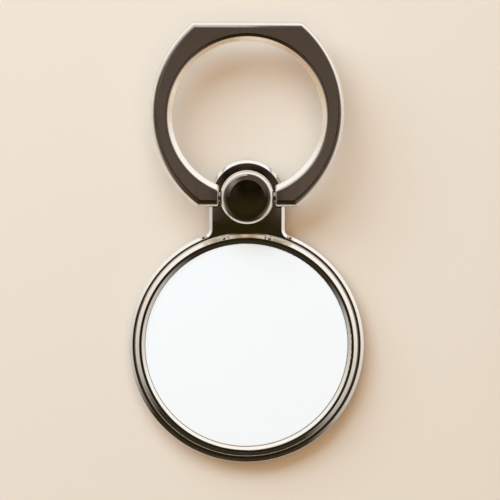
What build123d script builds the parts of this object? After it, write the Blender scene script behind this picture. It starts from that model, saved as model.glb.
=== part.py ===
from build123d import *
from math import isclose, sqrt
import os

# A stick-on ring holder: a round plate with a white face set into its bezel, a neck with a swivel
# hub, and a finger ring that flips about a cross pin through the hub.
# Millimetres. The origin is the centre of the stuck-on face, +Z points away from that face,
# and +Y runs from the plate to the ring, which lies flat and open.

# Face insert
insert_diameter = 30.2
insert_thickness = 0.8
insert_edge_round = 0.15
insert_clearance = 0.05
insert_depth = 0.4  # insert face below the bezel

# Bezel round the insert, and the flange outside it
bezel_width = 1.57
bezel_height = 0.9
bezel_bevel_width = 0.47
bezel_bevel_depth = 0.35
bezel_slope_width = 0.74
bezel_wall_height = 0.43  # steep foot below the slope
bezel_wall_lean = 0.2
bezel_soften = 0.15
flange_width = 0.78

# Plate with its neck, and the adhesive on the back
plate_thickness = 2.0
plate_bevel_width = 0.5
plate_bevel_depth = 0.36
plate_bevel_soften = 0.12
plate_back_round = 0.3
neck_margin = 1.65  # neck outside the hub, all round
neck_root_round = 0.9
pad_thickness = 0.8
pad_margin = 0.9  # plate outside the adhesive
pad_edge_round = 0.15

# Swivel hub
hub_diameter = 8.0
hub_gap = 0.45  # from the plate's edge to the hub
hub_flat_diameter = 5.1
hub_crown_drop = 0.17  # from the flat down to the rim
hub_rim_round = 0.95
hub_foot_chamfer = 0.15
hub_roof = 0.7  # above the rivet

# Swivel rivet, with the washers that it clamps
shank_diameter = 3.6
shank_clearance = 0.05
shank_bridge = 0.35  # shank above the hinge pin
shank_chamfer = 0.2
rivet_head_diameter = 6.4
rivet_head_thickness = 0.5
rivet_head_round = 0.2
rivet_recess = 0.15  # rivet head inside the back of the neck
counterbore_clearance = 0.3
gasket_thickness = 0.2
gasket_margin = 0.4  # hub outside the gasket
washer_thickness = 0.25
washer_height = 0.4
washer_clearance = 0.1

# Finger ring
finger_hole_diameter = 22.2
ring_thickness = 2.8
ring_side_width = 3.3
ring_front_width = 2.85
ring_side_rise = 0.55  # widest place of the ring beyond the middle of its hole
ring_front_length = 16.3  # straight front edge, from corner to corner
ring_rear_length = 14.6  # straight rear edge, from corner to corner
ring_corner_round = 0.8
ring_edge_round = 1.0
hole_bevel_width = 0.8
hole_bevel_depth = 0.72
hole_bevel_round = 0.7  # where the bevel meets the ring's face
hole_waist_round = 0.25  # where it meets the hole's wall
ring_end_gap = 0.2  # from each ring end to the hub
ring_end_round = 0.3
ring_lift = 0.3  # from the bezel up to the ring when it lies over the plate

# Hinge pin
pin_diameter = 1.5
pin_clearance = 0.04
pin_chamfer = 0.15
pin_recess = 0.3  # pin end inside the ring's side
hinge_inset = 0.95  # pin axis outside the finger hole's circle
hinge_rear = 1.45  # ring behind the pin axis

# Largest share of a wall that one edge round takes
plate_back_share = 0.2
ring_round_share = 0.45

# Radii that follow from the sizes above
insert_radius = insert_diameter / 2
recess_radius = insert_radius + insert_clearance
bezel_radius = recess_radius + bezel_width
plate_radius = bezel_radius + flange_width
hub_radius = hub_diameter / 2
neck_radius = hub_radius + neck_margin
shank_radius = shank_diameter / 2
rivet_head_radius = rivet_head_diameter / 2
hole_radius = finger_hole_diameter / 2
pin_radius = pin_diameter / 2
pin_bore_radius = pin_radius + pin_clearance

# Places along Y: hub axis and pin axis share hub_y
hub_y = plate_radius + hub_gap + hub_radius
ring_y = hub_y + hole_radius + hinge_inset

# Heights, from the stuck-on face up
plate_back = pad_thickness
plate_front = plate_back + plate_thickness
bezel_top = plate_front + bezel_height
insert_front = bezel_top - insert_depth
insert_seat = insert_front - insert_thickness
ring_back = bezel_top + ring_lift
hinge_z = ring_back + ring_thickness / 2
rivet_head_back = plate_back + rivet_recess
rivet_head_front = rivet_head_back + rivet_head_thickness
washer_roof = rivet_head_front + washer_height
rivet_top = hinge_z + pin_radius + shank_bridge
hub_foot = plate_front + gasket_thickness
hub_top = rivet_top + hub_roof

# Half the width of the ring, and the places of its straight edges, from the middle of its hole
ring_half_width = hole_radius + ring_side_width
ring_front_edge = hole_radius + ring_front_width
ring_rear_edge = -(hole_radius + hinge_inset + hinge_rear)
ring_end_x = hub_radius + ring_end_gap
ring_end_width = -ring_rear_edge - sqrt(hole_radius**2 - ring_end_x**2)

# Edge rounds, kept within the walls that they run along
back_round = min(plate_back_round, plate_back_share * plate_thickness)
ring_wall = min(ring_thickness, ring_side_width, ring_front_width, ring_end_width)
edge_round = min(ring_edge_round, ring_round_share * ring_wall)

hub_axis = Axis((0, hub_y, 0), (0, 0, 1))
hub_section = Plane((0, hub_y, 0), x_dir=(1, 0, 0), z_dir=(0, -1, 0))
hinge_section = Plane((0, hub_y, hinge_z), x_dir=(0, 1, 0), z_dir=(1, 0, 0))

os.makedirs("parts", exist_ok=True)


# Base plate: disc and neck in one casting
with BuildPart() as base_plate:
    with BuildSketch(Plane.XY.offset(plate_back)) as plate_outline:
        Circle(plate_radius)
        with Locations((0, hub_y / 2)):
            Rectangle(2 * neck_radius, hub_y)
        with Locations((0, hub_y)):
            Circle(neck_radius)
        neck_roots = plate_outline.vertices().group_by(Axis.Y)[-2]
        fillet(neck_roots, radius=neck_root_round)
    extrude(amount=plate_thickness)
    fillet(base_plate.faces().sort_by(Axis.Z)[0].edges(), radius=back_round)

    # Bevel along the front edge, softened above and below
    front_face = base_plate.faces().sort_by(Axis.Z)[-1]
    chamfer(front_face.edges(), length=plate_bevel_width, length2=plate_bevel_depth, reference=front_face)
    levels = base_plate.edges().group_by(Axis.Z)
    fillet(levels[-1] + levels[-3], radius=plate_bevel_soften)

    # Bezel with a flat inner bevel, and an outer slope above a steep foot
    slope_foot = (bezel_radius - bezel_wall_lean, plate_front + bezel_wall_height)
    with BuildSketch(Plane.XZ) as bezel_profile:
        with BuildLine():
            Polyline(
                (recess_radius, insert_seat),
                (bezel_radius, insert_seat),
                (bezel_radius, plate_front),
                slope_foot,
                (bezel_radius - bezel_slope_width, bezel_top),
                (recess_radius + bezel_bevel_width, bezel_top),
                (recess_radius, bezel_top - bezel_bevel_depth),
                close=True,
            )
        make_face()
        fillet(bezel_profile.vertices().sort_by_distance(slope_foot)[0], radius=bezel_soften)
        fillet(bezel_profile.vertices().group_by(Axis.Y)[-1], radius=bezel_soften)
    revolve(axis=Axis.Z)

    # Recess that the insert is bonded into
    with BuildSketch(Plane.XY.offset(insert_seat)):
        Circle(recess_radius)
    extrude(amount=bezel_top - insert_seat, mode=Mode.SUBTRACT)

    # Rivet bore, counterbored from the back for the rivet head and its washer
    with Locations(Plane((0, hub_y, plate_back), z_dir=(0, 0, -1))):
        CounterBoreHole(
            radius=shank_radius + shank_clearance,
            counter_bore_radius=rivet_head_radius + counterbore_clearance,
            counter_bore_depth=washer_roof - plate_back,
            depth=plate_thickness,
        )

base_plate.part.label = "base_plate"
export_step(base_plate.part, "parts/base_plate.step")


# Face insert
with BuildPart() as face_insert:
    with BuildSketch(Plane.XY.offset(insert_seat)):
        Circle(insert_radius)
    extrude(amount=insert_thickness)
    fillet(face_insert.faces().sort_by(Axis.Z)[-1].edges(), radius=insert_edge_round)

face_insert.part.label = "face_insert"
export_step(face_insert.part, "parts/face_insert.step")


# Adhesive pad on the back of the disc
with BuildPart() as adhesive_pad:
    with BuildSketch(Plane.XY):
        Circle(plate_radius - pad_margin)
    extrude(amount=pad_thickness)
    fillet(adhesive_pad.edges().filter_by(GeomType.CIRCLE), radius=pad_edge_round)

adhesive_pad.part.label = "adhesive_pad"
export_step(adhesive_pad.part, "parts/adhesive_pad.step")


# Swivel rivet: its head sits in the neck's counterbore, its shank runs up into the hub
with BuildPart() as swivel_rivet:
    with BuildSketch(hub_section) as rivet_profile:
        with BuildLine():
            Polyline(
                (0, rivet_head_back),
                (rivet_head_radius, rivet_head_back),
                (rivet_head_radius, rivet_head_front),
                (shank_radius, rivet_head_front),
                (shank_radius, rivet_top),
                (0, rivet_top),
                close=True,
            )
        make_face()
        head_corner = rivet_profile.vertices().sort_by_distance((rivet_head_radius, rivet_head_back))[0]
        fillet(head_corner, radius=rivet_head_round)
        tip_corner = rivet_profile.vertices().sort_by_distance((shank_radius, rivet_top))[0]
        chamfer(tip_corner, length=shank_chamfer)
    revolve(axis=hub_axis)

    # Cross bore for the hinge pin
    with BuildSketch(hinge_section):
        Circle(pin_bore_radius)
    extrude(amount=hub_radius, both=True, mode=Mode.SUBTRACT)

swivel_rivet.part.label = "swivel_rivet"
export_step(swivel_rivet.part, "parts/swivel_rivet.step")


# Conical spring washer: its inner edge bears on the neck, its outer edge on the rivet head
with BuildPart() as spring_washer:
    with BuildSketch(hub_section):
        with BuildLine():
            Polyline(
                (shank_radius + washer_clearance, washer_roof),
                (shank_radius + washer_clearance, washer_roof - washer_thickness),
                (rivet_head_radius, rivet_head_front),
                (rivet_head_radius, rivet_head_front + washer_thickness),
                close=True,
            )
        make_face()
    revolve(axis=hub_axis)

spring_washer.part.label = "spring_washer"
export_step(spring_washer.part, "parts/spring_washer.step")


# Flat wear gasket that the hub turns on
with BuildPart() as swivel_gasket:
    with BuildSketch(Plane((0, hub_y, plate_front))):
        Circle(hub_radius - gasket_margin)
        Circle(shank_radius + shank_clearance, mode=Mode.SUBTRACT)
    extrude(amount=gasket_thickness)

swivel_gasket.part.label = "swivel_gasket"
export_step(swivel_gasket.part, "parts/swivel_gasket.step")


# Swivel hub: a round button with a small flat on a low crown, and a full round at its rim
with BuildPart() as swivel_hub:
    with BuildSketch(hub_section) as hub_profile:
        with BuildLine():
            Polyline(
                (0, hub_foot),
                (hub_radius, hub_foot),
                (hub_radius, hub_top - hub_crown_drop),
                (hub_flat_diameter / 2, hub_top),
                (0, hub_top),
                close=True,
            )
        make_face()
        rim_corner = hub_profile.vertices().sort_by_distance((hub_radius, hub_top - hub_crown_drop))[0]
        fillet(rim_corner, radius=hub_rim_round)
        foot_corner = hub_profile.vertices().sort_by_distance((hub_radius, hub_foot))[0]
        chamfer(foot_corner, length=hub_foot_chamfer)
    revolve(axis=hub_axis)

    # Blind bore for the rivet shank, to the form of the shank's tip
    with BuildSketch(hub_section) as shank_bore:
        with Locations((shank_radius / 2, (hub_foot + rivet_top) / 2)):
            Rectangle(shank_radius, rivet_top - hub_foot)
        tip_corner = shank_bore.vertices().sort_by_distance((shank_radius, rivet_top))[0]
        chamfer(tip_corner, length=shank_chamfer)
    revolve(axis=hub_axis, mode=Mode.SUBTRACT)

    # Cross bore for the hinge pin
    with BuildSketch(hinge_section):
        Circle(pin_bore_radius)
    extrude(amount=hub_radius, both=True, mode=Mode.SUBTRACT)

swivel_hub.part.label = "swivel_hub"
export_step(swivel_hub.part, "parts/swivel_hub.step")


# Finger ring: straight front and rear edges, round sides, and a gap at the rear for the hub
with BuildPart() as finger_ring:
    with BuildSketch(Plane((0, ring_y, ring_back))) as ring_outline:
        with BuildLine():
            side = ThreePointArc(
                (ring_rear_length / 2, ring_rear_edge),
                (ring_half_width, ring_side_rise),
                (ring_front_length / 2, ring_front_edge),
            )
            Line(side @ 1, (0, ring_front_edge))
            Line(side @ 0, (0, ring_rear_edge))
            mirror(about=Plane.YZ)
        make_face()
        corners = ring_outline.vertices().filter_by(lambda v: abs(v.X) > ring_end_x).group_by(Axis.Y)
        fillet(corners[0] + corners[-1], radius=ring_corner_round)
        with Locations((0, ring_rear_edge)):
            Rectangle(2 * ring_end_x, -ring_rear_edge, align=(Align.CENTER, Align.MIN), mode=Mode.SUBTRACT)
    extrude(amount=ring_thickness)

    # Finger hole, bevelled from both faces
    with BuildSketch(Plane((0, ring_y, hinge_z), x_dir=(1, 0, 0), z_dir=(0, -1, 0))):
        with BuildLine():
            Polyline(
                (0, ring_thickness / 2),
                (hole_radius + hole_bevel_width, ring_thickness / 2),
                (hole_radius, ring_thickness / 2 - hole_bevel_depth),
                (hole_radius, 0),
                (0, 0),
                close=True,
            )
        make_face()
        mirror(about=Plane.XZ)
    revolve(axis=Axis((0, ring_y, 0), (0, 0, 1)), mode=Mode.SUBTRACT)

    # Rounded all along the finger hole and the outer edge, then at the two ends
    round_edges = finger_ring.edges().filter_by(GeomType.CIRCLE)
    waist_edges = round_edges.filter_by(lambda e: isclose(e.radius, hole_radius))
    fillet(waist_edges, radius=hole_waist_round)
    face_edges = finger_ring.faces().filter_by(Axis.Z).edges()
    hole_edges = face_edges.filter_by(GeomType.CIRCLE).filter_by(
        lambda e: isclose(e.radius, hole_radius + hole_bevel_width)
    )
    end_edges = face_edges.filter_by(Axis.Y)
    fillet(hole_edges, radius=hole_bevel_round)
    fillet(face_edges - hole_edges - end_edges, radius=edge_round)
    fillet(finger_ring.faces().filter_by(Axis.X).edges(), radius=ring_end_round)

    # Bore through both ends for the hinge pin
    with BuildSketch(hinge_section):
        Circle(pin_radius)
    extrude(amount=ring_half_width, both=True, mode=Mode.SUBTRACT)

finger_ring.part.label = "finger_ring"
export_step(finger_ring.part, "parts/finger_ring.step")


# Hinge pin: as long as the ring is wide at the pin's rear side, less the recess at each end
pin_drop = side.arc_center.Y + hole_radius + hinge_inset + pin_radius
ring_half_width_at_pin = side.arc_center.X + sqrt(side.radius**2 - pin_drop**2)

with BuildPart() as hinge_pin:
    with BuildSketch(hinge_section):
        Circle(pin_radius)
    extrude(amount=ring_half_width_at_pin - pin_recess, both=True)
    chamfer(hinge_pin.edges().filter_by(GeomType.CIRCLE), length=pin_chamfer)

hinge_pin.part.label = "hinge_pin"
export_step(hinge_pin.part, "parts/hinge_pin.step")
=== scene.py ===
import math

import bpy
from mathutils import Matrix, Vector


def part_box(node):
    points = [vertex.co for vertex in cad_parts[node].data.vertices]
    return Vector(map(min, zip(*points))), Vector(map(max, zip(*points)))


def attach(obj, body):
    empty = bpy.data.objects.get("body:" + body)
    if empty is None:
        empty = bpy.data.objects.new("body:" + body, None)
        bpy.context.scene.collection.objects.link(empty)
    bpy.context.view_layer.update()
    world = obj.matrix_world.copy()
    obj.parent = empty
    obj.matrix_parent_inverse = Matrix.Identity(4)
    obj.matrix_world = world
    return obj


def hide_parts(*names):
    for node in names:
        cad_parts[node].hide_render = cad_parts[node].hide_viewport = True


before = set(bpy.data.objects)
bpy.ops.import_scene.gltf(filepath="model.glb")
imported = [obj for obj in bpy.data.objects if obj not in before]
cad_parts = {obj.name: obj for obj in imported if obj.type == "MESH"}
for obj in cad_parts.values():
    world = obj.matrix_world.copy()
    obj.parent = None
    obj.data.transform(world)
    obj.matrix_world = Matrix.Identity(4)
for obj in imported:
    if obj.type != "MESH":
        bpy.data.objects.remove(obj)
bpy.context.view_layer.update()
mm = 0.001
print("frame loaded:", len(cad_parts), "CAD nodes")


# Small helpers for the node work of every finish
def newFinish(name):
    finish = bpy.data.materials.new(name)
    finish.use_nodes = True
    return finish, finish.node_tree.nodes["Principled BSDF"]


def link(finish, fromSocket, toSocket):
    finish.node_tree.links.new(fromSocket, toSocket)


def placeOn(finish, stretch=(1, 1, 1), shift=(0, 0, 0)):
    nodes = finish.node_tree.nodes
    coords = nodes.new("ShaderNodeTexCoord")
    mapping = nodes.new("ShaderNodeMapping")
    mapping.inputs["Location"].default_value = shift
    mapping.inputs["Scale"].default_value = stretch
    link(finish, coords.outputs["Object"], mapping.inputs["Vector"])
    return mapping.outputs["Vector"]


def noiseOn(finish, scale, detail=2.0, stretch=(1, 1, 1)):
    noise = finish.node_tree.nodes.new("ShaderNodeTexNoise")
    noise.inputs["Scale"].default_value = scale
    noise.inputs["Detail"].default_value = detail
    link(finish, placeOn(finish, stretch), noise.inputs["Vector"])
    return noise.outputs[0]


def cellsOn(finish, scale):
    cells = finish.node_tree.nodes.new("ShaderNodeTexVoronoi")
    cells.inputs["Scale"].default_value = scale
    link(finish, placeOn(finish), cells.inputs["Vector"])
    return cells.outputs["Distance"]


# Most of a noise lies between 0.3 and 0.7, so that is the usual start and end
def spread(finish, value, low, high, start=0.3, end=0.7):
    remap = finish.node_tree.nodes.new("ShaderNodeMapRange")
    remap.inputs["From Min"].default_value = start
    remap.inputs["From Max"].default_value = end
    remap.inputs["To Min"].default_value = low
    remap.inputs["To Max"].default_value = high
    link(finish, value, remap.inputs["Value"])
    return remap.outputs["Result"]


def tint(finish, value, first, second):
    mix = finish.node_tree.nodes.new("ShaderNodeMix")
    mix.data_type = "RGBA"
    for socket, color in (("A", first), ("B", second)):
        if isinstance(color, bpy.types.NodeSocket):
            link(finish, color, mix.inputs[socket])
        else:
            mix.inputs[socket].default_value = (*color, 1)
    link(finish, value, mix.inputs["Factor"])
    return mix.outputs["Result"]


# Colour between a finish's dark and light, and roughness between its low and high
def colorBy(finish, values, noise):
    return tint(finish, spread(finish, noise, 0, 1), values["dark"], values["light"])


def roughBy(finish, values, noise):
    return spread(finish, noise, values["roughLow"], values["roughHigh"])


# Several heights on one surface, each with its own depth
def relief(finish, shader, *layers):
    normal = None
    for value, depth in layers:
        bump = finish.node_tree.nodes.new("ShaderNodeBump")
        bump.inputs["Distance"].default_value = depth
        link(finish, value, bump.inputs["Height"])
        if normal:
            link(finish, normal, bump.inputs["Normal"])
        normal = bump.outputs["Normal"]
    link(finish, normal, shader.inputs["Normal"])


def dress(nodeName, finish):
    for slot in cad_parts[nodeName].material_slots:
        slot.material = finish


# Bright plating on the plate and hub: buffed in rings, with faint clouds in its shine
polishedSet = {"light": (0.90, 0.875, 0.845), "dark": (0.86, 0.835, 0.80), "cloudScale": 130,
               "roughLow": 0.03, "roughHigh": 0.07, "hazeScale": 420, "hazeDetail": 4,
               "buffPitch": 0.22 * mm, "buffWaver": 3.0, "waverScale": 0.4, "buffDepth": 0.0001 * mm,
               "rippleScale": 260, "rippleDepth": 0.003 * mm}
waveFactor = 20  # the wave texture multiplies its scale by this


# Rings about an upright axis, as a buffing wheel leaves them
def buffingOn(finish, middle):
    wave = finish.node_tree.nodes.new("ShaderNodeTexWave")
    wave.wave_type = "RINGS"
    wave.rings_direction = "Z"
    wave.inputs["Scale"].default_value = 2 * math.pi / (waveFactor * polishedSet["buffPitch"])
    wave.inputs["Distortion"].default_value = polishedSet["buffWaver"]
    wave.inputs["Detail Scale"].default_value = polishedSet["waverScale"]
    link(finish, placeOn(finish, shift=[-part for part in middle]), wave.inputs["Vector"])
    return wave.outputs["Fac"]


def polishedPlating(name, middle):
    finish, shader = newFinish(name)
    shader.inputs["Metallic"].default_value = 1.0
    clouds = noiseOn(finish, polishedSet["cloudScale"])
    haze = noiseOn(finish, polishedSet["hazeScale"], polishedSet["hazeDetail"])
    ripple = noiseOn(finish, polishedSet["rippleScale"])
    link(finish, colorBy(finish, polishedSet, clouds), shader.inputs["Base Color"])
    link(finish, roughBy(finish, polishedSet, haze), shader.inputs["Roughness"])
    relief(finish, shader, (buffingOn(finish, middle), polishedSet["buffDepth"]),
           (ripple, polishedSet["rippleDepth"]))
    return finish


# The ring's plating is a shade softer, with a fine grain and wiping marks along its sides
ringSet = {"light": (0.95, 0.92, 0.885), "dark": (0.90, 0.87, 0.835), "cloudScale": 150,
           "shade": (0.80, 0.77, 0.735), "grainScale": 3200, "grainShare": 0.5,
           "roughLow": 0.05, "roughHigh": 0.10,
           "wipeScale": 500, "wipeDetail": 4, "wipeStretch": (1, 0.25, 1),
           "rippleScale": 240, "rippleDepth": 0.003 * mm}


def ringPlating():
    finish, shader = newFinish("ringPlating")
    shader.inputs["Metallic"].default_value = 1.0
    clouds = noiseOn(finish, ringSet["cloudScale"])
    wipes = noiseOn(finish, ringSet["wipeScale"], ringSet["wipeDetail"], ringSet["wipeStretch"])
    grain = spread(finish, noiseOn(finish, ringSet["grainScale"]), 0, ringSet["grainShare"])
    plating = colorBy(finish, ringSet, clouds)
    link(finish, tint(finish, grain, plating, ringSet["shade"]), shader.inputs["Base Color"])
    link(finish, roughBy(finish, ringSet, wipes), shader.inputs["Roughness"])
    relief(finish, shader, (noiseOn(finish, ringSet["rippleScale"]), ringSet["rippleDepth"]))
    return finish


# White face: smooth plastic with a soft shine and a little orange peel
faceSet = {"light": (0.936, 0.950, 0.944), "dark": (0.930, 0.944, 0.938), "ior": 1.49,
           "mottleScale": 70, "mottleDetail": 5,
           "roughLow": 0.23, "roughHigh": 0.27, "satinScale": 400, "satinDetail": 3,
           "peelScale": 2600, "peelDetail": 3, "peelDepth": 0.0015 * mm}


def whiteFace():
    finish, shader = newFinish("whiteFace")
    shader.inputs["IOR"].default_value = faceSet["ior"]
    mottle = noiseOn(finish, faceSet["mottleScale"], faceSet["mottleDetail"])
    satin = noiseOn(finish, faceSet["satinScale"], faceSet["satinDetail"])
    peel = noiseOn(finish, faceSet["peelScale"], faceSet["peelDetail"])
    link(finish, colorBy(finish, faceSet, mottle), shader.inputs["Base Color"])
    link(finish, roughBy(finish, faceSet, satin), shader.inputs["Roughness"])
    relief(finish, shader, (peel, faceSet["peelDepth"]))
    return finish


# Bare steel of the pin, rivet and washer, drawn along the pin
steelSet = {"light": (0.60, 0.60, 0.59), "dark": (0.48, 0.48, 0.47),
            "roughLow": 0.24, "roughHigh": 0.42,
            "grainScale": 1400, "grainDetail": 4, "grainStretch": (0.05, 1, 1), "grainDepth": 0.003 * mm}


def bareSteel():
    finish, shader = newFinish("bareSteel")
    shader.inputs["Metallic"].default_value = 1.0
    grain = noiseOn(finish, steelSet["grainScale"], steelSet["grainDetail"], steelSet["grainStretch"])
    link(finish, colorBy(finish, steelSet, grain), shader.inputs["Base Color"])
    link(finish, roughBy(finish, steelSet, grain), shader.inputs["Roughness"])
    relief(finish, shader, (grain, steelSet["grainDepth"]))
    return finish


# Black plastic of the wear washer, finely speckled
gasketSet = {"light": (0.050, 0.050, 0.048), "dark": (0.030, 0.030, 0.030),
             "roughLow": 0.42, "roughHigh": 0.60,
             "speckleScale": 1800, "speckleDetail": 3, "speckleDepth": 0.004 * mm}


def gasketPlastic():
    finish, shader = newFinish("gasketPlastic")
    speckle = noiseOn(finish, gasketSet["speckleScale"], gasketSet["speckleDetail"])
    link(finish, colorBy(finish, gasketSet, speckle), shader.inputs["Base Color"])
    link(finish, roughBy(finish, gasketSet, speckle), shader.inputs["Roughness"])
    relief(finish, shader, (speckle, gasketSet["speckleDepth"]))
    return finish


hubLow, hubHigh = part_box("swivel_hub")
hubMiddle = [(low + high) / 2 for low, high in zip(hubLow, hubHigh)]
steel = bareSteel()
dress("base_plate", polishedPlating("polishedPlate", (0, 0, 0)))
dress("swivel_hub", polishedPlating("polishedHub", hubMiddle))
dress("finger_ring", ringPlating())
dress("face_insert", whiteFace())
for steelPart in ("swivel_rivet", "spring_washer", "hinge_pin"):
    dress(steelPart, steel)
dress("swivel_gasket", gasketPlastic())
print("finishes on the CAD nodes")


# Foam pad with adhesive on the back: a die-cut disc whose edge bulges a little between its two faces
padSet = {"sides": 160, "edgeIn": 0.16 * mm, "edgeRise": 0.12 * mm, "bulge": 0.05 * mm,
          "rims": (0.5 * mm, 3.0 * mm, 7.0 * mm), "grit": 0.06 * mm, "gritSize": 0.5 * mm,
          "sideShare": 0.25, "edgeShare": 0.4, "smoothAngle": 40,
          "light": (0.74, 0.74, 0.73), "dark": (0.62, 0.62, 0.61),
          "roughLow": 0.72, "roughHigh": 0.92, "cloudScale": 180, "cloudDetail": 4,
          "poreScale": 3200, "poreDepth": 0.03 * mm,
          "poreShade": 0.45, "poreStart": 0.1, "poreEnd": 0.5}


def foamAdhesive():
    finish, shader = newFinish("foamAdhesive")
    pores = cellsOn(finish, padSet["poreScale"])
    clouds = noiseOn(finish, padSet["cloudScale"], padSet["cloudDetail"])
    # the pores are darkened towards the dark colour: painted shade in the pores
    paintedPoreShade = spread(finish, pores, padSet["poreShade"], 0, padSet["poreStart"], padSet["poreEnd"])
    aged = colorBy(finish, padSet, clouds)
    link(finish, tint(finish, paintedPoreShade, aged, padSet["dark"]), shader.inputs["Base Color"])
    link(finish, roughBy(finish, padSet, clouds), shader.inputs["Roughness"])
    relief(finish, shader, (pores, padSet["poreDepth"]))
    return finish


# The middle of a flat side is the one face near its level with more than four corners
def selectSide(mesh, level, near):
    bpy.ops.object.mode_set(mode="OBJECT")
    for face in mesh.polygons:
        face.select = len(face.vertices) > 4 and abs(face.center.z - level) < near
    bpy.ops.object.mode_set(mode="EDIT")


def makePad():
    low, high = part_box("adhesive_pad")
    radius, height = high[0], high[2] - low[2]
    edgeIn, edgeRise, bulge = padSet["edgeIn"], padSet["edgeRise"], padSet["bulge"]
    bpy.ops.object.select_all(action="DESELECT")
    bpy.ops.mesh.primitive_circle_add(vertices=padSet["sides"], radius=radius - edgeIn, fill_type="NGON",
                                      location=(0, 0, low[2]))
    pad = bpy.context.object
    pad.name = "foamPad"
    bpy.ops.object.transform_apply(location=True, rotation=False, scale=False)
    bpy.ops.object.mode_set(mode="EDIT")
    bpy.ops.mesh.select_all(action="SELECT")
    reach = radius - edgeIn
    # up the edge: round out of the lower face, bulge, and back in to the upper face
    for nextReach, rise in ((radius - bulge, edgeRise), (radius, height / 2 - edgeRise),
                            (radius - bulge, height / 2 - edgeRise), (radius - edgeIn, edgeRise)):
        bpy.ops.mesh.extrude_region_move(TRANSFORM_OT_translate={"value": (0, 0, rise)})
        grow = nextReach / reach
        bpy.ops.transform.resize(value=(grow, grow, 1))
        reach = nextReach
    # rings of faces on the two flat sides, which hold their rims when the mesh is made finer
    for level in (high[2], low[2]):
        for rim in padSet["rims"]:
            selectSide(pad.data, level, height * padSet["sideShare"])
            bpy.ops.mesh.inset(thickness=rim, depth=0)
    bpy.ops.mesh.select_all(action="SELECT")
    bpy.ops.mesh.normals_make_consistent(inside=False)
    bpy.ops.object.mode_set(mode="OBJECT")

    # grit on the cut edge only, not on the two flat sides
    edge = pad.vertex_groups.new(name="cutEdge")
    halfWay = low[2] + height / 2
    edgePoints = [point.index for point in pad.data.vertices
                  if abs(point.co.z - halfWay) < height * padSet["edgeShare"]]
    edge.add(edgePoints, 1.0, "REPLACE")
    finer = pad.modifiers.new("finer", "SUBSURF")
    finer.levels = finer.render_levels = 1
    cloud = bpy.data.textures.new("cutGrit", "CLOUDS")
    cloud.noise_scale = padSet["gritSize"]
    grit = pad.modifiers.new("grit", "DISPLACE")
    grit.texture = cloud
    grit.texture_coords = "LOCAL"
    grit.strength = -padSet["grit"]
    grit.mid_level = 0.0
    grit.vertex_group = "cutEdge"
    for modifier in ("finer", "grit"):
        bpy.ops.object.modifier_apply(modifier=modifier)
    bpy.ops.object.shade_smooth_by_angle(angle=math.radians(padSet["smoothAngle"]))
    pad.data.materials.append(foamAdhesive())
    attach(pad, "base")
    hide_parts("adhesive_pad")


makePad()
print("foam pad")


floorSet = {"size": 8.0, "color": (0.805, 0.69, 0.57), "roughness": 0.6, "sheen": 0.2}


def makeFloor():
    bpy.ops.object.select_all(action="DESELECT")
    bpy.ops.mesh.primitive_plane_add(size=floorSet["size"], location=(0, 0, 0))
    floor = bpy.context.object
    floor.name = "floor"
    finish, shader = newFinish("floorPaper")
    shader.inputs["Base Color"].default_value = (*floorSet["color"], 1)
    shader.inputs["Roughness"].default_value = floorSet["roughness"]
    shader.inputs["Specular IOR Level"].default_value = floorSet["sheen"]
    floor.data.materials.append(finish)


# Straight down: the middle of the picture, the camera's height, and the width it takes in at a level
cameraSet = {"x": 0.47 * mm, "y": 14.15 * mm, "height": 400 * mm, "roll": 0.2,
             "level": 3 * mm, "width": 74.5 * mm, "sensor": 36}


def makeCamera():
    camera = bpy.data.objects.new("camera", bpy.data.cameras.new("camera"))
    bpy.context.collection.objects.link(camera)
    camera.location = (cameraSet["x"], cameraSet["y"], cameraSet["height"])
    camera.rotation_euler = (0, 0, math.radians(cameraSet["roll"]))
    camera.data.sensor_width = cameraSet["sensor"]
    distance = cameraSet["height"] - cameraSet["level"]
    camera.data.lens = cameraSet["sensor"] * distance / cameraSet["width"]
    bpy.context.scene.camera = camera


def forReflectionsOnly(thing):
    thing.visible_camera = False
    thing.visible_diffuse = False
    thing.visible_transmission = False
    thing.visible_volume_scatter = False
    thing.visible_shadow = False


def glowing(name):
    finish = bpy.data.materials.new(name)
    finish.use_nodes = True
    nodes = finish.node_tree.nodes
    nodes.remove(nodes["Principled BSDF"])
    glow = nodes.new("ShaderNodeEmission")
    link(finish, glow.outputs["Emission"], nodes["Material Output"].inputs["Surface"])
    return finish, glow


# The room that the metal mirrors: a brown ceiling, walls that get bright towards the window side and are
# dark away from it, and a pale band low on them. Heights are shares of the radius, and stops run from the
# dark side (0) to the window side (1).
roomSet = {"radius": 1.5, "segments": 96, "rings": 64, "windowSide": 80, "strength": 1.12,
           "lean": 0.2, "ceilingHeight": 0.707, "wallHeight": 0.28,
           "bandLow": 0.135, "bandHigh": 0.205, "bandSoft": 0.025,
           "ceilingStops": ((0.035, (0.027, 0.020, 0.010)), (0.165, (0.078, 0.057, 0.044))),
           "wallStops": ((0.12, (0.030, 0.024, 0.016)), (0.19, (0.20, 0.185, 0.17)),
                         (0.26, (0.44, 0.42, 0.39)), (0.33, (0.55, 0.53, 0.50)),
                         (0.42, (0.64, 0.60, 0.55)), (0.58, (0.80, 0.745, 0.69)),
                         (0.75, (0.94, 0.91, 0.87)), (1.0, (1.0, 0.97, 0.93))),
           "bandStops": ((0.0, (0.80, 0.63, 0.47)), (0.04, (0.58, 0.41, 0.28)),
                         (0.15, (0.58, 0.41, 0.28)), (0.33, (0.68, 0.53, 0.36)),
                         (0.45, (0.78, 0.65, 0.52)), (0.60, (0.72, 0.57, 0.42)),
                         (0.80, (0.94, 0.91, 0.87)))}


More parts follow.
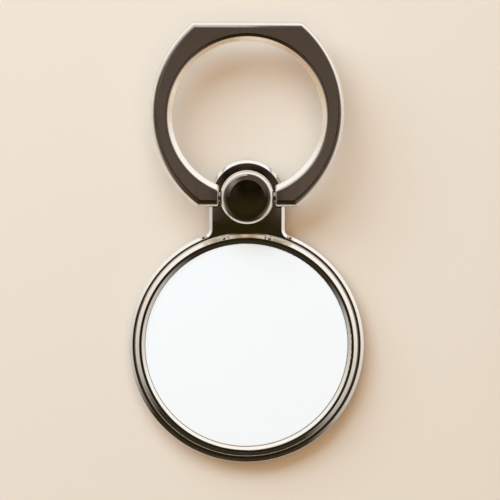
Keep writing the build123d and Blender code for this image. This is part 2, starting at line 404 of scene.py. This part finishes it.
def stopsOn(finish, value, stops):
    ramp = finish.node_tree.nodes.new("ShaderNodeValToRGB")
    elements = ramp.color_ramp.elements
    while len(elements) < len(stops):
        elements.new(0.5)  # anywhere, its place is set below
    for element, (place, color) in zip(elements, stops):
        element.position = place
        element.color = (*color, 1)
    link(finish, value, ramp.inputs["Fac"])
    return ramp.outputs["Color"]


def mathOn(finish, operation, first, second):
    node = finish.node_tree.nodes.new("ShaderNodeMath")
    node.operation = operation
    for place, value in enumerate((first, second)):
        if isinstance(value, bpy.types.NodeSocket):
            link(finish, value, node.inputs[place])
        else:
            node.inputs[place].default_value = value
    return node.outputs["Value"]


def vectorOn(finish, operation, first, second=(0, 0, 0)):
    node = finish.node_tree.nodes.new("ShaderNodeVectorMath")
    node.operation = operation
    link(finish, first, node.inputs[0])
    node.inputs[1].default_value = second
    return node.outputs["Value" if operation in ("DOT_PRODUCT", "DISTANCE") else "Vector"]


def makeRoom():
    radius = roomSet["radius"]
    bpy.ops.object.select_all(action="DESELECT")
    bpy.ops.mesh.primitive_uv_sphere_add(segments=roomSet["segments"], ring_count=roomSet["rings"],
                                         radius=radius)
    room = bpy.context.object
    room.name = "room"
    bpy.ops.object.mode_set(mode="EDIT")
    bpy.ops.mesh.select_all(action="SELECT")
    bpy.ops.mesh.bisect(plane_co=(0, 0, 0), plane_no=(0, 0, 1), clear_inner=True)
    bpy.ops.object.mode_set(mode="OBJECT")
    bpy.ops.object.shade_smooth()
    finish, glow = glowing("roomGlow")
    nodes = finish.node_tree.nodes
    place = nodes.new("ShaderNodeTexCoord").outputs["Object"]
    side = math.radians(roomSet["windowSide"])
    towards = (math.cos(side), math.sin(side), 0)
    level = vectorOn(finish, "NORMALIZE", vectorOn(finish, "MULTIPLY", place, (1, 1, 0)))
    facing = spread(finish, vectorOn(finish, "DOT_PRODUCT", level, towards), 0, 1, -1, 1)
    axes = nodes.new("ShaderNodeSeparateXYZ")
    link(finish, place, axes.inputs["Vector"])
    # the walls reach higher at the far end
    farAway = mathOn(finish, "MAXIMUM", axes.outputs["Y"], 0.0)
    leaning = mathOn(finish, "MULTIPLY", farAway, roomSet["lean"])
    height = mathOn(finish, "SUBTRACT", axes.outputs["Z"], leaning)
    down = spread(finish, height, 0, 1, roomSet["ceilingHeight"] * radius, roomSet["wallHeight"] * radius)
    ceiling = stopsOn(finish, facing, roomSet["ceilingStops"])
    walls = stopsOn(finish, facing, roomSet["wallStops"])
    bandLow, bandHigh, bandSoft = (roomSet[key] * radius for key in ("bandLow", "bandHigh", "bandSoft"))
    under = spread(finish, axes.outputs["Z"], 0, 1, bandLow - bandSoft, bandLow)
    over = spread(finish, axes.outputs["Z"], 1, 0, bandHigh, bandHigh + bandSoft)
    band = stopsOn(finish, facing, roomSet["bandStops"])
    inBand = mathOn(finish, "MULTIPLY", under, over)
    link(finish, tint(finish, inBand, tint(finish, down, ceiling, walls), band), glow.inputs["Color"])
    glow.inputs["Strength"].default_value = roomSet["strength"]
    room.data.materials.append(finish)
    forReflectionsOnly(room)


# Glowing cards over the object, seen only in reflections, so they are painted reflections: dark ones for
# the plate, the neck and the hub's crown, a grey one by the window, and a brown one that paints a sheen on
# the ring's flats, brighter towards the bottom and darker towards the top, which lies just above the
# others. Edges are in millimetres, and each card has one colour at its near edge and one at its far edge.
cardHeight = 420 * mm
cardSet = {"plateCard": {"across": (-115, 115), "along": (-300, 24), "lift": 0,
                         "near": (0.016, 0.012, 0.004), "far": (0.020, 0.015, 0.004)},
           "neckCard": {"across": (-9.7, 8.8), "along": (24, 33.5), "lift": 0,
                        "near": (0.032, 0.025, 0.006), "far": (0.003, 0.002, 0.001)},
           "archCard": {"across": (-9.7, 8.8), "along": (33.5, 41), "lift": 0,
                        "near": (0.003, 0.002, 0.001), "far": (0.006, 0.004, 0.002)},
           "rightCard": {"across": (60, 150), "along": (24, 80), "lift": 0,
                         "near": (0.012, 0.009, 0.003), "far": (0.087, 0.064, 0.049)},
           "leftCard": {"across": (-150, -60), "along": (24, 60), "lift": 0,
                        "near": (0.016, 0.012, 0.004), "far": (0.087, 0.064, 0.049)},
           "windowCard": {"across": (-450, 2), "along": (171, 480), "lift": 0,
                          "near": (0.45, 0.43, 0.41), "far": (0.70, 0.67, 0.64)},
           "ringSheenCard": {"across": (-45, 45), "along": (25, 95), "lift": 2,
                        "near": (0.110, 0.081, 0.062), "far": (0.076, 0.056, 0.043)}}


def makeCard(name):
    values = cardSet[name]
    left, right = (edge * mm for edge in values["across"])
    near, far = (edge * mm for edge in values["along"])
    middle = ((left + right) / 2, (near + far) / 2, cardHeight + values["lift"] * mm)
    bpy.ops.object.select_all(action="DESELECT")
    bpy.ops.mesh.primitive_plane_add(size=1, location=middle)
    card = bpy.context.object
    card.name = name
    bpy.ops.transform.resize(value=(right - left, far - near, 1))
    bpy.ops.object.transform_apply(location=True, rotation=False, scale=True)
    finish, glow = glowing(name + "Glow")
    nodes = finish.node_tree.nodes
    axes = nodes.new("ShaderNodeSeparateXYZ")
    link(finish, nodes.new("ShaderNodeTexCoord").outputs["Object"], axes.inputs["Vector"])
    away = spread(finish, axes.outputs["Y"], 0, 1, near, far)
    link(finish, tint(finish, away, values["near"], values["far"]), glow.inputs["Color"])
    card.data.materials.append(finish)
    forReflectionsOnly(card)


# A round card that fades out into the ceiling, for the glint on the hub's crown
glintSet = {"x": -80 * mm, "y": 108 * mm, "reach": 50 * mm, "sides": 48, "core": 8 * mm,
            "bright": (0.24, 0.23, 0.21), "edge": (0.087, 0.064, 0.049)}


def makeGlint():
    middle = (glintSet["x"], glintSet["y"], cardHeight)
    bpy.ops.object.select_all(action="DESELECT")
    bpy.ops.mesh.primitive_circle_add(vertices=glintSet["sides"], radius=glintSet["reach"],
                                      fill_type="NGON", location=middle)
    glint = bpy.context.object
    glint.name = "glintCard"
    bpy.ops.object.transform_apply(location=True, rotation=False, scale=False)
    finish, glow = glowing("glintGlow")
    place = finish.node_tree.nodes.new("ShaderNodeTexCoord").outputs["Object"]
    distance = vectorOn(finish, "DISTANCE", place, middle)
    away = spread(finish, distance, 0, 1, glintSet["core"], glintSet["reach"])
    link(finish, tint(finish, away, glintSet["bright"], glintSet["edge"]), glow.inputs["Color"])
    glint.data.materials.append(finish)
    forReflectionsOnly(glint)


# Soft boxes round the object, each aimed at it: a key, a low window behind it, and one overhead
lampSet = {"key": {"azimuth": 114, "elevation": 46, "width": 0.9, "height": 0.36, "power": 5.84,
                   "color": (0.58, 0.80, 1.0)},
           "window": {"azimuth": 134, "elevation": 26, "width": 0.9, "height": 0.3, "power": 4.02,
                      "color": (0.58, 0.80, 1.0)},
           "overhead": {"azimuth": 90, "elevation": 90, "width": 0.9, "height": 0.9, "power": 2.5,
                        "color": (1.0, 0.74, 0.50)}}
lampReach = 0.8


def makeLamp(name):
    values = lampSet[name]
    lamp = bpy.data.lights.new(name, "AREA")
    lamp.shape = "RECTANGLE"
    lamp.size = values["width"]
    lamp.size_y = values["height"]
    lamp.energy = values["power"]
    lamp.color = values["color"]
    box = bpy.data.objects.new(name, lamp)
    bpy.context.collection.objects.link(box)
    turn, lift = math.radians(values["azimuth"]), math.radians(values["elevation"])
    out = lampReach * math.cos(lift)
    box.location = (out * math.cos(turn), cameraSet["y"] + out * math.sin(turn), lampReach * math.sin(lift))
    box.rotation_euler = (math.pi / 2 - lift, 0, turn + math.pi / 2)
    box.visible_glossy = False


# A warm fill, and a pale wall for what the camera or a mirror sees past the room
worldSet = {"fill": (0.31, 0.232, 0.155), "pale": (1.0, 0.97, 0.93)}


def makeWorld():
    world = bpy.data.worlds.new("studio")
    bpy.context.scene.world = world
    world.use_nodes = True
    nodes, links = world.node_tree.nodes, world.node_tree.links
    fill = nodes["Background"]
    fill.inputs["Color"].default_value = (*worldSet["fill"], 1)
    pale = nodes.new("ShaderNodeBackground")
    pale.inputs["Color"].default_value = (*worldSet["pale"], 1)
    path = nodes.new("ShaderNodeLightPath")
    seen = path.outputs["Is Camera Ray"]
    for ray in ("Is Glossy Ray", "Is Transmission Ray"):
        either = nodes.new("ShaderNodeMath")
        either.operation = "MAXIMUM"
        links.new(seen, either.inputs[0])
        links.new(path.outputs[ray], either.inputs[1])
        seen = either.outputs[0]
    mix = nodes.new("ShaderNodeMixShader")
    links.new(seen, mix.inputs["Fac"])
    links.new(fill.outputs["Background"], mix.inputs[1])
    links.new(pale.outputs["Background"], mix.inputs[2])
    links.new(mix.outputs["Shader"], nodes["World Output"].inputs["Surface"])


makeFloor()
makeCamera()
makeRoom()
for cardName in cardSet:
    makeCard(cardName)
makeGlint()
for lampName in lampSet:
    makeLamp(lampName)
makeWorld()
bpy.context.scene.view_settings.view_transform = "Standard"
print("stage, lights and camera")
